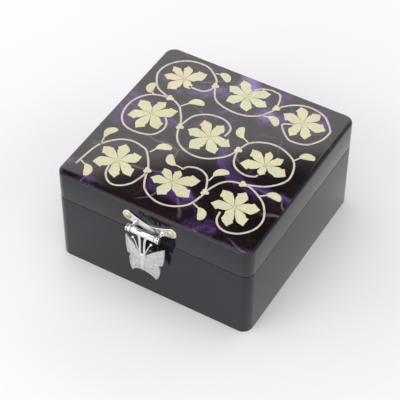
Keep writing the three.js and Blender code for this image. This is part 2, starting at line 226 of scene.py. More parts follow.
def shell_material():
    """Cream and yellow-green mother-of-pearl: patches of hue under fine bands."""
    made = Shader("shell", Coat_Weight=0.4, Coat_Roughness=0.08, IOR=1.6)
    hues = made.ramp(
        made.cells(75),
        (0.15, (0.62, 0.58, 0.34)),
        (0.40, (0.72, 0.69, 0.43)),
        (0.62, (0.60, 0.62, 0.40)),
        (0.82, (0.70, 0.60, 0.44)),
    )
    bands = made.ramp(
        made.noise(320, 5, 0.6, 3),
        (0.35, (0.50, 0.48, 0.30)),
        (0.65, (0.78, 0.74, 0.54)),
    )
    share = made.ramp(made.noise(120), (0.3, grey(0.2)), (0.7, grey(0.6)))
    made.color(made.mix(share, hues, bands))
    made.rough(made.noise(240), 0.14, 0.34)
    made.bump(made.noise(400, 3), 0.15, 0.0002)
    return made.material


def vine_material():
    made = Shader("vine_shell", Coat_Weight=0.4, Coat_Roughness=0.08, IOR=1.6)
    made.color(made.ramp(
        made.noise(160, 4, 0.6, 1),
        (0.30, (0.46, 0.36, 0.36)),
        (0.50, (0.62, 0.54, 0.50)),
        (0.70, (0.60, 0.58, 0.46)),
    ))
    made.rough(made.noise(240), 0.14, 0.34)
    return made.material


def velvet_material():
    made = Shader("velvet", Sheen_Weight=0.7, Sheen_Roughness=0.4)
    made.main.inputs["Sheen Tint"].default_value = (0.75, 0.6, 0.85, 1)
    made.color(made.ramp(made.noise(35, 5), (0.3, (0.055, 0.018, 0.075)), (0.7, (0.105, 0.04, 0.135))))
    made.rough(made.noise(800), 0.85, 1.0)
    made.bump(made.noise(1800, 2), 0.5, 0.0003)
    return made.material


def felt_material():
    made = Shader("felt", Sheen_Weight=0.3)
    made.color(made.ramp(made.noise(900, 4), (0.3, (0.012, 0.012, 0.013)), (0.7, (0.035, 0.034, 0.036))))
    made.rough(made.noise(900), 0.85, 1.0)
    made.bump(made.noise(1400, 3), 0.5, 0.0003)
    return made.material


def nickel_material():
    made = Shader("nickel", Metallic=1)
    made.color(made.ramp(made.noise(300), (0.3, (0.70, 0.69, 0.69)), (0.7, (0.82, 0.81, 0.80))))
    made.rough(made.noise(500), 0.10, 0.24)
    made.bump(made.noise(900, 2), 0.1, 0.0001)
    return made.material


def stippled_material():
    made = Shader("stippled_nickel", Metallic=1)
    made.color(made.ramp(made.noise(500), (0.3, (0.52, 0.51, 0.50)), (0.7, (0.74, 0.73, 0.71))))
    made.rough(made.noise(700), 0.30, 0.46)
    made.bump(made.cells(1500, "Distance"), 0.7, 0.0003)
    return made.material


def brass_material():
    made = Shader("brass", Metallic=1)
    made.color(made.ramp(made.noise(350), (0.3, (0.50, 0.44, 0.24)), (0.7, (0.68, 0.61, 0.36))))
    made.rough(made.noise(500), 0.14, 0.32)
    return made.material


def mirror_material():
    made = Shader("mirror", (0.88, 0.9, 0.91), Metallic=1)
    made.rough(made.noise(20), 0.01, 0.03)
    return made.material


LACQUER = lacquer_material()
PAPER = paper_material()
SHELL = shell_material()
VINE = vine_material()
VELVET = velvet_material()
FELT = felt_material()
NICKEL = nickel_material()
STIPPLED = stippled_material()
BRASS = brass_material()
MIRROR = mirror_material()


# Meshes
def finished(name, mesh, material, body, slot, *replaced, smooth=35):
    """A piece of the visual model: it rides a body and stands for the replaced nodes."""
    for polygon in mesh.polygons:
        polygon.use_smooth = True
    mesh.set_sharp_from_angle(angle=math.radians(smooth))
    mesh.materials.append(material)
    piece = bpy.data.objects.new(name, mesh)
    bpy.context.scene.collection.objects.link(piece)
    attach(piece, body)
    if replaced:
        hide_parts(*replaced)
    return piece


def mesh_of(name, verts, faces):
    """A mesh without doubled points, whose faces point out."""
    mesh = bpy.data.meshes.new(name)
    mesh.from_pydata([tuple(v) for v in verts], [], faces)
    shape = bmesh.new()
    shape.from_mesh(mesh)
    bmesh.ops.remove_doubles(shape, verts=shape.verts, dist=1e-7)
    bmesh.ops.recalc_face_normals(shape, faces=shape.faces)
    shape.to_mesh(mesh)
    shape.free()
    return mesh


def rounded_ring(inset, z, half_x, half_y, radius, steps=10):
    """A level rounded rectangle, drawn in by the inset."""
    x = half_x - inset
    y = half_y - inset
    r = max(radius - inset, LEAST_RADIUS)
    ring = []
    for quarter, (sx, sy) in enumerate(((1, 1), (-1, 1), (-1, -1), (1, -1))):
        for i in range(steps + 1):
            angle = math.pi / 2 * (quarter + i / steps)
            ring.append((sx * (x - r) + r * math.cos(angle), sy * (y - r) + r * math.sin(angle), z))
    return ring


def bridged(rings, count, closed):
    """Faces between neighbouring rings of count points; the last ring meets the first if closed."""
    faces = []
    for k in range(rings if closed else rings - 1):
        a = k * count
        b = (k + 1) % rings * count
        faces += [(a + i, a + (i + 1) % count, b + (i + 1) % count, b + i) for i in range(count)]
    if not closed:
        faces.append(tuple(range(count)))
        faces.append(tuple(range((rings - 1) * count, rings * count)))
    return faces


def loft(name, profile, half_x, half_y, radius, closed, centre=(0, 0)):
    """Rounded rectangles stacked along a profile of (inset, z); an open profile is capped."""
    rings = [rounded_ring(inset, z, half_x, half_y, radius) for inset, z in profile]
    verts = [(x + centre[0], y + centre[1], z) for ring in rings for x, y, z in ring]
    return mesh_of(name, verts, bridged(len(rings), len(rings[0]), closed))


def arc(inset, z, radius, start, end, steps=5):
    """Points of a rounded edge in (inset, z), about a centre."""
    angles = [math.radians(start + (end - start) * i / steps) for i in range(steps + 1)]
    return [(inset + radius * math.cos(a), z + radius * math.sin(a)) for a in angles]


def lathe(name, profile, origin, axis, steps=40):
    """A profile of (radius, distance along the axis), turned about it."""
    axis = Vector(axis).normalized()
    side = axis.orthogonal().normalized()
    other = axis.cross(side)
    verts = []
    for radius, along in profile:
        for i in range(steps):
            angle = FULL_TURN * i / steps
            out = side * math.cos(angle) + other * math.sin(angle)
            verts.append(Vector(origin) + axis * along + out * radius)
    return mesh_of(name, verts, bridged(len(profile), steps, False))


def tube(name, points, radii, sides=12):
    """A round bar along points, with a radius at each of them."""
    points = [Vector(p) for p in points]
    verts = []
    for i, (point, radius) in enumerate(zip(points, radii)):
        ahead = (points[min(i + 1, len(points) - 1)] - points[max(i - 1, 0)]).normalized()
        side = ahead.cross(Vector((0, 1, 0)))
        side = side.normalized() if side.length > 0.1 else Vector((0, 0, 1))
        other = ahead.cross(side)
        for k in range(sides):
            angle = FULL_TURN * k / sides
            verts.append(point + (side * math.cos(angle) + other * math.sin(angle)) * radius)
    return mesh_of(name, verts, bridged(len(points), sides, False))


def plate(outline, thickness, bevel, place):
    """A flat plate with a bevelled face; place maps (u, v, height) to a point."""
    shape = bmesh.new()
    base = [shape.verts.new((u, v, 0)) for u, v in outline]
    face = shape.faces.new(base)
    grown = bmesh.ops.extrude_face_region(shape, geom=[face])
    raised = [g for g in grown["geom"] if isinstance(g, bmesh.types.BMVert)]
    bmesh.ops.translate(shape, verts=raised, vec=(0, 0, thickness))
    if bevel:
        top = set(raised)
        edges = [e for e in shape.edges if e.verts[0] in top and e.verts[1] in top]
        bmesh.ops.bevel(
            shape, geom=edges, offset=bevel, segments=3, profile=0.6, affect="EDGES", clamp_overlap=True
        )
    for vert in shape.verts:
        vert.co = place(vert.co)
    bmesh.ops.recalc_face_normals(shape, faces=shape.faces)
    return shape


def joined(name, parts):
    """One mesh from several, each a bmesh or a mesh."""
    whole = bmesh.new()
    for part in parts:
        if isinstance(part, bmesh.types.BMesh):
            mesh = bpy.data.meshes.new(name + "_part")
            part.to_mesh(mesh)
            part.free()
            part = mesh
        whole.from_mesh(part)
        bpy.data.meshes.remove(part)
    mesh = bpy.data.meshes.new(name)
    whole.to_mesh(mesh)
    whole.free()
    return mesh


def smooth_line(points, steps=6):
    """A smooth line that runs through every point."""
    points = [Vector(p) for p in points]
    last = len(points) - 1
    line = []
    for i in range(last):
        a, b, c, d = (points[min(max(i + k, 0), last)] for k in (-1, 0, 1, 2))
        slope = c - a
        bend = 2 * a - 5 * b + 4 * c - d
        twist = 3 * b - a - 3 * c + d
        for k in range(steps):
            t = k / steps
            line.append(0.5 * (2 * b + slope * t + bend * t * t + twist * t ** 3))
    line.append(points[-1])
    return line


def polar(centre, radius, angle):
    return (centre[0] + radius * math.cos(angle), centre[1] + radius * math.sin(angle))


# The case: continuous lacquered shells over the boards
def make_base():
    inner = WALL - EDGE
    upper = SEAM_BASE - EDGE
    profile = arc(EDGE, EDGE, EDGE, 270, 180) + arc(EDGE, upper, EDGE, 180, 90)
    profile += arc(inner, upper, EDGE, 90, 0) + arc(inner, EDGE, EDGE, 0, -90)
    mesh = loft("base_shell", profile, HALF, HALF, CORNER_RADIUS, True)
    boards = ["base_front_board", "base_back_board", "base_left_board", "base_right_board"]
    finished("base_shell", mesh, LACQUER, "base", "lacquer", *boards)


def make_lid():
    inner = WALL - EDGE
    lower = SEAM_LID + EDGE
    profile = [(HALF * 0.5, TOP), (HALF * 0.1, TOP)]
    profile += arc(TOP_EDGE, TOP - TOP_EDGE, TOP_EDGE, 90, 180) + arc(EDGE, lower, EDGE, 180, 270)
    profile += arc(inner, lower, EDGE, -90, 0) + [(WALL, CEILING), (HALF * 0.5, CEILING)]
    mesh = loft("lid_shell", profile, HALF, HALF, CORNER_RADIUS, False)
    boards = ["lid_front_board", "lid_back_board", "lid_left_board", "lid_right_board", "lid_top_panel"]
    finished("lid_shell", mesh, LACQUER, "lid", "lacquer", *boards)


def make_paper():
    edge = arc(PAPER_INSET + PAPER_EDGE, PAPER_TOP - PAPER_EDGE, PAPER_EDGE, 180, 90)
    mesh = loft("dyed_paper", [(PAPER_INSET, TOP)] + edge, HALF, HALF, CORNER_RADIUS, False)
    finished("dyed_paper", mesh, PAPER, "lid", "paper", "top_paper")


# The inlay, in millimetres on the lid's top. Each flower: its heart and the tips of its petals
SHELL_RISE = 0.12 * MM
VINE_WIDTH = 1.1
FLOWERS = [
    ((-38.2, 39.1), [(-41.6, 49.5), (-29.1, 48.7), (-49.9, 36.2), (-42.4, 27.4), (-31.5, 33.5),
                     (-49.0, 45.0)]),
    ((-0.8, 44.5), [(-8.7, 54.9), (10.1, 52.8), (13, 42.4), (5.1, 33.7), (-8.7, 35.3), (-13.2, 47)]),
    ((36.8, 41.4), [(29.7, 52), (41.8, 52), (50, 42), (43.4, 30.3), (35.1, 28.7), (24.0, 42.4)]),
    ((-39.5, 5.3), [(-37, 17), (-27.8, 14.1), (-29.9, -3.8), (-40.8, -8.8), (-49.9, -2.6), (-50.3, 11.2)]),
    ((-2.4, 5.3), [(-11.2, 15.3), (0.1, 17), (11.0, 4.5), (6.8, -4.3), (-7.4, -7.6), (-15.3, 4.5)]),
    ((34.6, 1.6), [(23, 8.7), (40.9, 10.5), (47.8, -0.1), (35.5, -6.4), (22.3, -3.8), (32.0, 12.0)]),
    ((-35.3, -35.1), [(-38.3, -23), (-25.8, -26.8), (-23.3, -42.2), (-30.2, -47.3), (-46.6, -43),
                      (-47.8, -30.5)]),
    ((-2, -34.5), [(10.5, -26.3), (11.3, -39.7), (-3.7, -46.3), (-13.4, -37.3), (-2.6, -25.2),
                   (-10.8, -28.0)]),
    ((35.6, -33.5), [(35.5, -21.5), (48, -28.8), (45.9, -43), (38.8, -47.4), (23.6, -37.2), (24.3, -26.0)]),
]
# The vines of the back, middle and front row, each as points that it runs through
VINES = [
    [
        [(-32.8, 34.9), (-24.5, 35.3), (-21.2, 38.7), (-20.3, 43), (-22.8, 48.3), (-30.3, 54.1), (-37, 55.2),
         (-43.7, 53.7), (-49.5, 49.5), (-52.8, 44.5), (-54.1, 38.7), (-52.8, 32.8), (-47, 24.9), (-37, 21.2)],
        [(0.5, 51.2), (3.8, 54.1), (8, 55.8), (11.3, 55.8), (15.5, 54.1), (18.2, 44.1), (15.5, 37.8),
         (13, 34.1), (8, 30.8), (1.3, 29.3), (-5.3, 29.7), (-12, 31.6), (-16.2, 35.3), (-20.3, 43)],
        [(18.2, 44.1), (23, 49.5), (28, 52.8), (33.8, 54.3), (39.7, 53.7), (45.5, 51.2), (52.2, 43.7),
         (52.8, 39.5), (51.8, 34.5), (48.8, 29.5), (45.5, 26.6), (39.7, 25.2), (34.7, 26.2), (28, 32.8),
         (28, 35.3), (32.6, 37.4)],
    ],
    [
        [(-31.2, 6.2), (-28.7, 3.7), (-27, -1.3), (-28.7, -7.2), (-32.8, -10.5), (-40.3, -11.8), (-47, -10.5),
         (-52, -5.5), (-54.3, 2), (-53.7, 9.5), (-50.8, 15.3), (-46.2, 19.1), (-37, 21.2), (-29.5, 18.3),
         (-26.2, 14.5), (-22.8, 9.5), (-20.3, 4.1)],
        [(4.7, 9.9), (5.1, 15.3), (3, 18.7), (-1.2, 21.2), (-6.2, 21.6), (-12, 20.3), (-16.6, 17),
         (-19.1, 12.8), (-20.3, 4.1), (-18.3, -2.2), (-14.5, -7.2), (-8.7, -10.5), (-2, -11.6), (4.7, -10.1),
         (10.5, -5.9), (14.3, -1.3), (16.3, 4.5), (18.4, 11.2), (22.2, 14.9), (28, 17.4), (33.8, 17.8),
         (39.7, 16.2), (45.5, 12.8), (48.8, 7.8), (50.5, 0.3), (49.3, -4.7), (45.5, -9.7), (40.5, -13.4),
         (31.3, -16.8)],
        [(16.3, 4.5), (17.2, -0.5), (19.3, -5.5), (23, -8.8), (28.8, -10.3), (33.8, -8.8), (34.7, -6.8)],
    ],
    [
        [(-53.7, -48.8), (-52.4, -37.2), (-50.8, -30.5), (-47, -24.7), (-42, -20.5), (-36.2, -18.8),
         (-30.3, -19.7), (-25.3, -22.2), (-17.8, -33.8), (-19.1, -43.8), (-21.2, -48), (-24.5, -50.9),
         (-28.7, -52.2), (-32.8, -50.5), (-36.2, -46.3), (-37.4, -41.3)],
        [(-2.4, -23.8), (-0.3, -20.5), (4.7, -18.8), (9.7, -20.1), (13.4, -23.8), (16.8, -32.2),
         (16.3, -37.2), (14.7, -43), (11.3, -47.2), (6.3, -50.1), (0.5, -51.2), (-5.3, -50.1),
         (-11.2, -46.8), (-14.5, -42.2), (-17.8, -33.8)],
        [(16.8, -32.2), (18, -28), (20.5, -22.2), (24.7, -18.4), (31.3, -16.8), (36.3, -17.2), (42.2, -20.1),
         (47.2, -23.8), (51.3, -29.7), (53.2, -35.5), (52.6, -41.3), (49.7, -46.3), (45.5, -49.7),
         (39.7, -51.1), (34.7, -49.3), (31.8, -45.5), (30.9, -40.5)],
    ],
]
# Each leaf: its middle and the point on the vine that it grows from; one list for each row
LEAVES = [
    [((-20.3, 52), (-25.3, 52)), ((20.5, 34.5), (14, 35))],
    [((-49.5, 22.4), (-46.6, 19.5)), ((-22.8, 24.5), (-28.3, 18.7)), ((12.2, 16.6), (18.8, 12)),
     ((50.5, 17.4), (46.3, 12.8))],
    [((-19.9, -15.5), (-24, -21.3)), ((-9.5, -21), (-2.8, -23)), ((16.8, -16.8), (14.3, -23.8)),
     ((48.8, -17.2), (43, -20)), ((-50.8, -20), (-50.3, -29.7)), ((-47, -49.3), (-52.8, -45.5)),
     ((21.8, -46.3), (15.5, -42.2))],
]
# Where two vines of a row meet
COLLARS = [
    [(-20.3, 43), (18.2, 44.1)],
    [(-37, 21.2), (-20.3, 4.1), (16.3, 4.5)],
    [(-17.8, -33.8), (16.8, -32.2), (31.3, -16.8)],
]
# The outline of a petal beyond its heart: share of its reach, and share of its spread
PLAIN_SIDE = [(0.56, 0.84), (0.74, 0.76), (0.84, 0.50), (0.92, 0.24)]
NOTCHED_SIDE = [(0.58, 0.84), (0.70, 0.62), (0.80, 0.72), (0.86, 0.44), (0.92, 0.20)]
PETAL_TIP = 1.02
PETAL_SPREAD = 0.56
HEART_RADIUS = 0.9
COLLAR_RADIUS = 2.4


def on_top(point):
    return Vector((point.x, point.y, PAPER_TOP + point.z))


def top_plate(outline, rise=SHELL_RISE):
    return plate([(x * MM, y * MM) for x, y in outline], rise, 0, on_top)


def petal_side(angle, shoulder):
    """Half of a petal's outline from its heart out, as (share of the reach, angle)."""
    heart = [(0.06, angle * 0.8), (0.30, angle - 0.035), (0.40, angle * 0.97 - 0.02)]
    spread = min(angle, PETAL_SPREAD)
    return heart + [(share, spread * turn) for share, turn in shoulder]


def petal(centre, tip, before, after):
    """A pointed petal: a wedge at the heart, wide shoulders with one notch, and a sharp tip."""
    reach = math.dist(centre, tip)
    heading = math.atan2(tip[1] - centre[1], tip[0] - centre[0])
    plain = [(share, -angle) for share, angle in petal_side(before, PLAIN_SIDE)]
    notched = petal_side(after, NOTCHED_SIDE)
    outline = plain + [(PETAL_TIP, 0)] + notched[::-1]
    return [polar(centre, reach * share, heading + angle) for share, angle in outline]


def petals(centre, tips):
    """A plate for each petal, each spreading half way to its neighbours."""
    headings = sorted((math.atan2(y - centre[1], x - centre[0]), (x, y)) for x, y in tips)
    count = len(headings)
    plates = []
    for k, (heading, tip) in enumerate(headings):
        before = (heading - headings[k - 1][0]) % FULL_TURN
        after = (headings[(k + 1) % count][0] - heading) % FULL_TURN
        plates.append(top_plate(petal(centre, tip, before / 2, after / 2)))
    return plates


def make_flowers():
    for index, (centre, tips) in enumerate(FLOWERS, 1):
        heart = [polar(centre, HEART_RADIUS, FULL_TURN * i / 16) for i in range(16)]
        name = "shell_flower_" + str(index)
        mesh = joined(name, petals(centre, tips) + [top_plate(heart)])
        finished(name, mesh, SHELL, "lid", "shell", "inlay_flower_" + str(index))


def ribbon_faces(n):
    """Faces of a ribbon whose corners come as n left and n right points, low and then high."""
    faces = []
    for i in range(n - 1):
        a, b = i, n + i
        faces.append((2 * n + a, 2 * n + b, 2 * n + b + 1, 2 * n + a + 1))
        faces.append((a, a + 1, 2 * n + a + 1, 2 * n + a))
        faces.append((b, 2 * n + b, 2 * n + b + 1, b + 1))
        faces.append((a, b, b + 1, a + 1))
    faces.append((0, 2 * n, 3 * n, n))
    faces.append((n - 1, 2 * n - 1, 4 * n - 1, 3 * n - 1))
    return faces


def ribbon(points, width):
    """A thin flat band along points; width gives its width at a share of its length."""
    line = smooth_line([(*p, 0) for p in points], 5)
    last = len(line) - 1
    left = []
    right = []
    for i, point in enumerate(line):
        ahead = line[min(i + 1, last)] - line[max(i - 1, 0)]
        side = Vector((-ahead.y, ahead.x, 0)).normalized() * width(i / last) / 2
        left.append(point + side)
        right.append(point - side)
    verts = [Vector((p.x * MM, p.y * MM, PAPER_TOP + h)) for h in (0, SHELL_RISE) for p in left + right]
    return mesh_of("ribbon", verts, ribbon_faces(len(line)))


def vine_width(t):
    return VINE_WIDTH


def leaf_width(t):
    """A thin stalk that opens into a round blade and closes at the curled tip."""
    blade = max(t - 0.3, 0) / 0.7
    return 0.8 + 4.2 * math.sin(math.pi * min(blade, 0.999)) ** 0.75 - 0.5 * blade


def leaf(centre, root):
    """A leaf that grows from its root past its centre and curls to one side."""
    middle = Vector(centre)
    start = Vector(root)
    along = middle - start
    side = Vector((-along.y, along.x)).normalized()
    ahead = along.normalized()
    points = [
        start,
        start + along * 0.4 + side * 0.6,
        middle - ahead * 1.6 + side * 1.2,
        middle + ahead * 1.2 + side * 0.9,
        middle + ahead * 3.4 - side * 1.2,
        middle + ahead * 4.0 - side * 3.2,
    ]
    return ribbon([(p.x, p.y) for p in points], leaf_width)


def collar(centre):
    """A small plate with three lobes."""
    outline = []
    for i in range(36):
        angle = FULL_TURN * i / 36
        lobe = 0.55 + 0.45 * abs(math.cos(1.5 * angle))
        outline.append(polar(centre, COLLAR_RADIUS * lobe, angle))
    return top_plate(outline, SHELL_RISE * 1.2)


def make_vines():
    for row in range(3):
        number = str(row + 1)
        vines = [ribbon(points, vine_width) for points in VINES[row]]
        name = "shell_vine_" + number
        finished(name, joined(name, vines), VINE, "lid", "shell", "inlay_vine_" + number)
        leaves = [leaf(*place) for place in LEAVES[row]] + [collar(place) for place in COLLARS[row]]
        name = "shell_leaves_" + number
        finished(name, joined(name, leaves), SHELL, "lid", "shell")


# The latch
_, PIN_Y, PIN_Z = frame["record"]["behaviour"]["joints"][1]["pos_m"]
EAR_X = 8.25 * MM
EYE_RADIUS = 1.75 * MM
EYE_BORE = 1.0 * MM
EYE_HALF = 0.55 * MM
EYE_EDGE = 0.2 * MM
LOBE_X = 13.2 * MM
LOBE_Z = 55.2 * MM
LOBE_RADIUS = 3.3 * MM
PLATE_THICKNESS = 1.1 * MM
PLATE_BEVEL = 0.45 * MM
NAIL_RADIUS = 2.2 * MM
NAIL_RIM = 0.15 * MM
NAIL_RISE = 1.0 * MM
HASP_Y = FRONT - 8.4 * MM
BUTTERFLY_Z = 32.4 * MM


def curve_points(start, middle, end, steps=10):
    """Points of a quadratic curve, without its end."""
    made = []
    for i in range(steps):
        t = i / steps
        s = 1 - t
        made.append(tuple(s * s * start[k] + 2 * t * s * middle[k] + t * t * end[k] for k in (0, 1)))
    return made


def circle_points(x, z, radius, start, end, steps=16):
    angles = [math.radians(start + (end - start) * i / steps) for i in range(steps)]
    return [(x + radius * math.cos(a), z + radius * math.sin(a)) for a in angles]


def plate_outline():
    """Two round lobes joined by a bar with a notched top and a bowed bottom edge."""
    lobe, z, r = LOBE_X, LOBE_Z, LOBE_RADIUS
    notch = z - 1.6 * MM
    shoulder = notch + 0.6 * MM
    bottom = z - 7 * MM
    bow = bottom + 2.6 * MM
    outline = curve_points((0, notch), (-lobe * 0.4, shoulder), (-lobe, z + r))
    outline += circle_points(-lobe, z, r, 90, 270)
    outline += curve_points((-lobe, z - r), (-lobe * 0.45, bow), (0, bottom))
    outline += curve_points((0, bottom), (lobe * 0.45, bow), (lobe, z - r))
    outline += circle_points(lobe, z, r, -90, 90)
    outline += curve_points((lobe, z + r), (lobe * 0.4, shoulder), (0, notch))
    return outline


def on_front(point):
    return Vector((point.x, FRONT - point.z, point.y))


def arm(x):
    """An arm from the plate forward to the pin."""
    wall = FRONT - 0.4 * MM
    points = [
        (x, wall, PIN_Z - 0.6 * MM),
        (x, wall - 1.6 * MM, PIN_Z - 0.9 * MM),
        (x, PIN_Y + 1.6 * MM, PIN_Z - 0.4 * MM),
        (x, PIN_Y, PIN_Z),
    ]
    return tube("arm", smooth_line(points), [1.5 * MM] * 6 + [1.0 * MM] * 12 + [0.9 * MM], 16)


def eye(x):
    """The ring at the arm's end, which holds the pin."""
    face = EYE_HALF + EYE_EDGE
    rim = arc(EYE_RADIUS, -EYE_HALF, EYE_EDGE, 270, 360, 3) + arc(EYE_RADIUS, EYE_HALF, EYE_EDGE, 0, 90, 3)
    profile = [(EYE_BORE, -face), (EYE_RADIUS, -face), *rim, (EYE_BORE, face)]
    return lathe("eye", profile, (x, PIN_Y, PIN_Z), (1, 0, 0))


def make_latch_plate():
    parts = [plate(plate_outline(), PLATE_THICKNESS, PLATE_BEVEL, on_front)]
    for x in (-EAR_X, EAR_X):
        parts += [arm(x), eye(x)]
    mesh = joined("winged_plate", parts)
    finished("winged_plate", mesh, NICKEL, "lid", "nickel", "latch_plate", smooth=50)


def make_nails():
    """Domed nails with a small dimple in the middle of the head."""
    rim = PLATE_THICKNESS + NAIL_RIM
    profile = [(NAIL_RADIUS, PLATE_THICKNESS), (NAIL_RADIUS, rim)]
    for angle in (0.2, 0.45, 0.7, 0.95, 1.15):
        profile.append((NAIL_RADIUS * math.cos(angle), rim + NAIL_RISE * math.sin(angle)))
    for radius, height in ((0.55, 1.02), (0.3, 0.85), (0.05, 0.8)):
        profile.append((radius * MM, PLATE_THICKNESS + height * MM))
    for name, side in (("left", -1), ("right", 1)):
        mesh = lathe("brass_nail_" + name, profile, (side * LOBE_X, FRONT, LOBE_Z), (0, -1, 0))
        finished("brass_nail_" + name, mesh, BRASS, "lid", "brass", "latch_nail_" + name)


def make_pin():
    """A pin with a rounded button at each end."""
    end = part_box("latch_pin")[1].x
    button = [(1.05, 0.75), (1.0, 1.7), (0.75, 2.15), (0.3, 2.1), (0.08, 1.5), (0, 0.05)]
    half = [(radius * MM, end - inward * MM) for inward, radius in button]
    profile = [(r, -x) for r, x in reversed(half)] + half
    mesh = lathe("round_ended_pin", profile, (0, PIN_Y, PIN_Z), (1, 0, 0))
    finished("round_ended_pin", mesh, NICKEL, "lid", "nickel", "latch_pin", smooth=60)


# The butterfly, in millimetres about its middle: curves of a wing's edge, with their steps
WING_CURVES = [
    ((0.2, 4.6), (5.6, 10.2), (12.0, 13.4), 12),
    ((12.0, 13.4), (12.3, 7), (11.0, 0.9), 12),
    ((11.0, 0.9), (9.4, 1.3), (8, 0.5), 4),
    ((8, 0.5), (10.2, -1.6), (9.5, -4.6), 8),
    ((9.5, -4.6), (9.4, -8.4), (7.6, -11.3), 8),
    ((7.6, -11.3), (5.6, -7.6), (0.2, -5.2), 8),
]
# Veins of the fore and hind wing: height of their root, rise, radius, its loss at each step, tips
VEINS = [
    (3.2, 0.9, 0.34, 0.025, [(9.8, 11.6), (11.2, 8.2), (10.2, 4.2), (7.4, 1.6)]),
    (-1.5, 0.6, 0.3, 0.02, [(8.6, -2.2), (8.8, -6.2), (7.0, -9.6)]),
]
SPOTS = [(8.2, 9.2, 0.9), (6.4, -6.4, 0.75)]
SPOT_PROFILE = [(1, -0.1), (0.95, 0.15), (0.6, 0.34)]
WING_SWEEP = math.tan(math.radians(13.6))
WING_THICKNESS = 0.85 * MM
WING_BEVEL = 0.25 * MM
WING_BACK = 0.5 * MM
RIM_RADIUS = 0.28 * MM


def wing_outline():
    outline = [point for curve in WING_CURVES for point in curve_points(*curve)]
    outline.append(WING_CURVES[-1][2])
    return [(x * MM, BUTTERFLY_Z + z * MM) for x, z in outline]


def wing_place(side):
    def place(point):
        swept = HASP_Y + WING_SWEEP * point.x + WING_BACK - point.z
        return Vector((side * point.x, swept, point.y))
    return place


def on_wing(place, x, z):
    """A point on the wing's face, from millimetres about the butterfly's middle."""
    return place(Vector((x * MM, BUTTERFLY_Z + z * MM, WING_THICKNESS)))


def vein(place, root_z, rise, radius, loss, tip):
    root = (1.0, root_z)
    bend = ((root[0] + tip[0]) / 2, (root[1] + tip[1]) / 2 + rise)
    points = [on_wing(place, x, z) for x, z in curve_points(root, bend, tip, 8)]
    return tube("vein", points, [(radius - loss * i) * MM for i in range(len(points))], 8)


def spot(place, x, z, radius):
    profile = [(radius * share * MM, height * MM) for share, height in SPOT_PROFILE]
    profile.append((0.02 * MM, 0.4 * MM))
    return lathe("spot", profile, on_wing(place, x, z), (0, -1, 0), 20)


def wing_rim(place, outline):
    """A raised edge just inside the wing's outline."""
    points = []
    for x, z in outline:
        inward = Vector((x * 0.96 + 0.1 * MM, BUTTERFLY_Z + (z - BUTTERFLY_Z) * 0.96, WING_THICKNESS))
        points.append(place(inward))
    return tube("rim", points, [RIM_RADIUS] * len(points), 8)


def wing_parts(side):
    place = wing_place(side)
    outline = wing_outline()
    parts = [plate(outline, WING_THICKNESS, WING_BEVEL, place), wing_rim(place, outline)]
    for root_z, rise, radius, loss, tips in VEINS:
        parts += [vein(place, root_z, rise, radius, loss, tip) for tip in tips]
    return parts + [spot(place, *row) for row in SPOTS]


def butterfly_body():
    """A tapering body, ringed along its lower part."""
    body_end = BUTTERFLY_Z - 6.2 * MM
    length = 11.4 * MM
    profile = []
    for i in range(40):
        t = i / 39
        swell = math.sin(math.pi * min(max(t, 0.02), 0.985)) ** 0.6
        rings = 1 + (0.07 * math.sin(t * 46) if t < 0.62 else 0)
        profile.append((1.35 * MM * swell * rings * (0.72 + 0.4 * t), body_end + length * t))
    return lathe("body", profile, (0, HASP_Y, 0), (0, 0, 1), 24)


def ball(name, radius, centre, steps):
    angles = [0.05 + i * 0.304 for i in range(11)]
    profile = [(radius * math.sin(a), -radius * math.cos(a)) for a in angles]
    return lathe(name, profile, centre, (0, 0, 1), steps)


def stem(side):
    """One of the twin stems from the body up to the pin."""
    x = side * 1.35 * MM
    points = [
        (x * 0.9, HASP_Y, BUTTERFLY_Z + 4 * MM),
        (x, HASP_Y - 0.1 * MM, BUTTERFLY_Z + 8 * MM),
        (x, HASP_Y + 0.1 * MM, BUTTERFLY_Z + 14 * MM),
        (x * 1.4, PIN_Y - 0.9 * MM, PIN_Z - 2.4 * MM),
        (x * 2.3, PIN_Y - 0.6 * MM, PIN_Z - 0.6 * MM),
    ]
    line = smooth_line(points)
    return tube("stem", line, [0.78 * MM] * len(line), 14)


def feeler(side):
    """A feeler and the ball at its tip."""
    points = [
        (side * 0.9 * MM, HASP_Y - 0.3 * MM, BUTTERFLY_Z + 6.8 * MM),
        (side * 2.9 * MM, HASP_Y - 0.2 * MM, BUTTERFLY_Z + 11 * MM),
        (side * 4.2 * MM, HASP_Y, BUTTERFLY_Z + 14.5 * MM),
        (side * 5.6 * MM, HASP_Y, BUTTERFLY_Z + 17 * MM),
    ]
    line = smooth_line(points)
    return [tube("feeler", line, [0.34 * MM] * len(line), 10), ball("ball", 0.8 * MM, points[-1], 18)]


def hasp_knuckle():
    """The tube that turns on the pin."""
    reach = min(7.1 * MM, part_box("butterfly_hasp")[1].x)
    bore = 1.1 * MM
    rim = 1.85 * MM
    edge = 0.2 * MM
    half = [(rim, reach - edge), (rim - edge, reach), (bore, reach)]
    profile = [(r, -x) for r, x in reversed(half)] + half
    return lathe("knuckle", profile, (0, PIN_Y, PIN_Z), (1, 0, 0))


def make_hasp():
    wings = joined("hasp_wings", wing_parts(1) + wing_parts(-1))
    finished("hasp_wings", wings, STIPPLED, "hasp", "nickel", smooth=50)
    head = (0, HASP_Y - 0.2 * MM, BUTTERFLY_Z + 6.2 * MM)
    parts = [butterfly_body(), ball("head", 1.3 * MM, head, 24)]
    for side in (-1, 1):
        parts += [stem(side), *feeler(side)]
    mesh = joined("hasp_body", parts + [hasp_knuckle()])
    finished("hasp_body", mesh, NICKEL, "hasp", "nickel", "butterfly_hasp", smooth=50)


# Padded inside
PAD_EDGE = 0.9 * MM
PAD_CORNER = 1.2 * MM
ROLL_SECTIONS = 48
ROLL_SIDES = 20


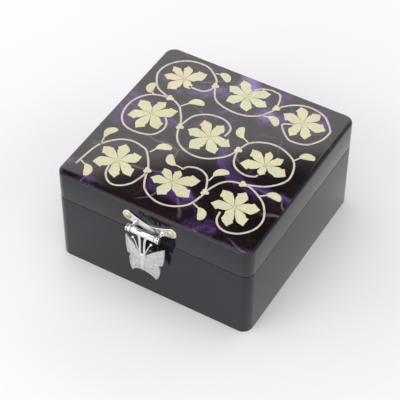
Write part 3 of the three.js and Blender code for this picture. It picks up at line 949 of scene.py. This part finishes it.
def soft_slab(node, body, soft):
    """A velvet-covered board with all its edges rounded."""
    low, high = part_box(node)
    centre = (low + high) / 2
    profile = arc(soft, low.z + soft, soft, 270, 180) + arc(soft, high.z - soft, soft, 180, 90)
    half = (high - low) / 2
    mesh = loft("velvet_" + node, profile, half.x, half.y, soft, False, centre.xy)
    finished("velvet_" + node, mesh, VELVET, body, "velvet", node)


def make_linings():
    for node in ("lining_front", "lining_back", "lining_left", "lining_right", "divider"):
        soft_slab(node, "base", 0.5 * MM)
    soft_slab("lid_lining_panel", "lid", 0.3 * MM)


def make_floor_pad():
    low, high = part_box("floor_pad")
    half = (high - low) / 2
    profile = [(0, low.z)] + arc(PAD_EDGE, high.z - PAD_EDGE, PAD_EDGE, 180, 90)
    mesh = loft("velvet_floor", profile, half.x, half.y, PAD_CORNER, False)
    finished("velvet_floor", mesh, VELVET, "base", "velvet", "floor_pad")


def roll_section(low, high, k, phase):
    """Points of one section of a roll: drawn in at the ends and slightly uneven along its length."""
    centre_y = (low.y + high.y) / 2
    half_y = (high.y - low.y) / 2
    t = k / ROLL_SECTIONS
    end = min(t, 1 - t) * ROLL_SECTIONS
    shrink = 1 if end > 3 else 0.86 + 0.14 * math.sin(math.pi / 6 * end)
    wave = 1 - 0.012 * (1 + math.sin(k * 0.9 + phase))
    points = []
    for s in range(ROLL_SIDES + 1):
        angle = math.pi * s / ROLL_SIDES
        up = math.sin(angle) ** 0.7 * shrink * wave
        y = centre_y + half_y * math.cos(angle) * shrink
        points.append((low.x + (high.x - low.x) * t, y, low.z + (high.z - low.z) * up))
    return points


def make_rolls():
    for i in range(1, 6):
        node = "ring_roll_" + str(i)
        low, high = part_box(node)
        verts = [point for k in range(ROLL_SECTIONS + 1) for point in roll_section(low, high, k, i)]
        mesh = mesh_of("velvet_roll", verts, bridged(ROLL_SECTIONS + 1, ROLL_SIDES + 1, False))
        finished("velvet_roll_" + str(i), mesh, VELVET, "base", "velvet", node)


def finish_nodes():
    """Materials for the nodes that stay as they are."""
    by_slot = {"lacquer": LACQUER, "paper": PAPER, "shell": SHELL, "velvet": VELVET, "felt": FELT,
               "nickel": NICKEL, "brass": BRASS, "mirror": MIRROR}
    for part in frame["record"]["subparts"]:
        mesh = nodes[part["node"]].data
        mesh.materials.clear()
        mesh.materials.append(by_slot[part["material_slot"]])


# Floor, sky and light
FLOOR_HALF = 3
# Brightness of the sky by the sine of its height; the dark band keeps the lid's top dark
SKY_STOPS = ((0.0, 1.0), (0.655, 1.0), (0.69, 0.18), (0.72, 0.05), (0.84, 0.04), (0.90, 1.0))
SKY_STRENGTH = 1.5
KEY_PLACE = Vector((-0.34, -0.71, 0.62)).normalized() * 1.1
KEY_AIM = Vector((0, 0, 0.03))
KEY_SIZE = 0.7
KEY_POWER = 2


def make_floor():
    shader = Shader("floor", (0.86, 0.85, 0.87))
    shader.color(shader.ramp(shader.noise(3), (0.3, (0.85, 0.845, 0.865)), (0.7, (0.88, 0.87, 0.89))))
    shader.main.inputs["Roughness"].default_value = 0.6
    shader.main.inputs["Specular IOR Level"].default_value = 0.2
    corners = [(sx * FLOOR_HALF, sy * FLOOR_HALF, 0) for sx, sy in ((-1, -1), (1, -1), (1, 1), (-1, 1))]
    mesh = mesh_of("floor", corners, [(0, 1, 2, 3)])
    mesh.materials.append(shader.material)
    stage = bpy.data.objects.new("floor", mesh)
    bpy.context.scene.collection.objects.link(stage)


def make_sky():
    world = bpy.data.worlds.new("studio")
    world.use_nodes = True
    tree = world.node_tree
    background = tree.nodes["Background"]
    place = tree.nodes.new("ShaderNodeTexCoord").outputs["Generated"]
    split = tree.nodes.new("ShaderNodeSeparateXYZ")
    tree.links.new(place, split.inputs[0])
    ramp = tree.nodes.new("ShaderNodeValToRGB")
    tree.links.new(split.outputs["Z"], ramp.inputs["Fac"])
    elements = ramp.color_ramp.elements
    while len(elements) < len(SKY_STOPS):
        elements.new(0.5)
    for element, (position, level) in zip(elements, SKY_STOPS):
        element.position = position
        element.color = (level, level * 0.99, level, 1)
    tree.links.new(ramp.outputs["Color"], background.inputs["Color"])
    background.inputs["Strength"].default_value = SKY_STRENGTH
    bpy.context.scene.world = world


def make_key_light():
    data = bpy.data.lights.new("key", "AREA")
    data.shape = "RECTANGLE"
    data.size = KEY_SIZE
    data.size_y = KEY_SIZE
    data.energy = KEY_POWER
    data.color = (1, 0.99, 0.97)
    lamp = bpy.data.objects.new("key", data)
    lamp.location = KEY_PLACE
    lamp.rotation_euler = (KEY_AIM - KEY_PLACE).to_track_quat("-Z", "Y").to_euler()
    bpy.context.scene.collection.objects.link(lamp)


place_camera()
make_base()
make_lid()
make_paper()
make_flowers()
make_vines()
make_latch_plate()
make_nails()
make_pin()
make_hasp()
make_linings()
make_floor_pad()
make_rolls()
finish_nodes()
make_floor()
make_sky()
make_key_light()
bpy.context.scene.view_settings.view_transform = "Standard"
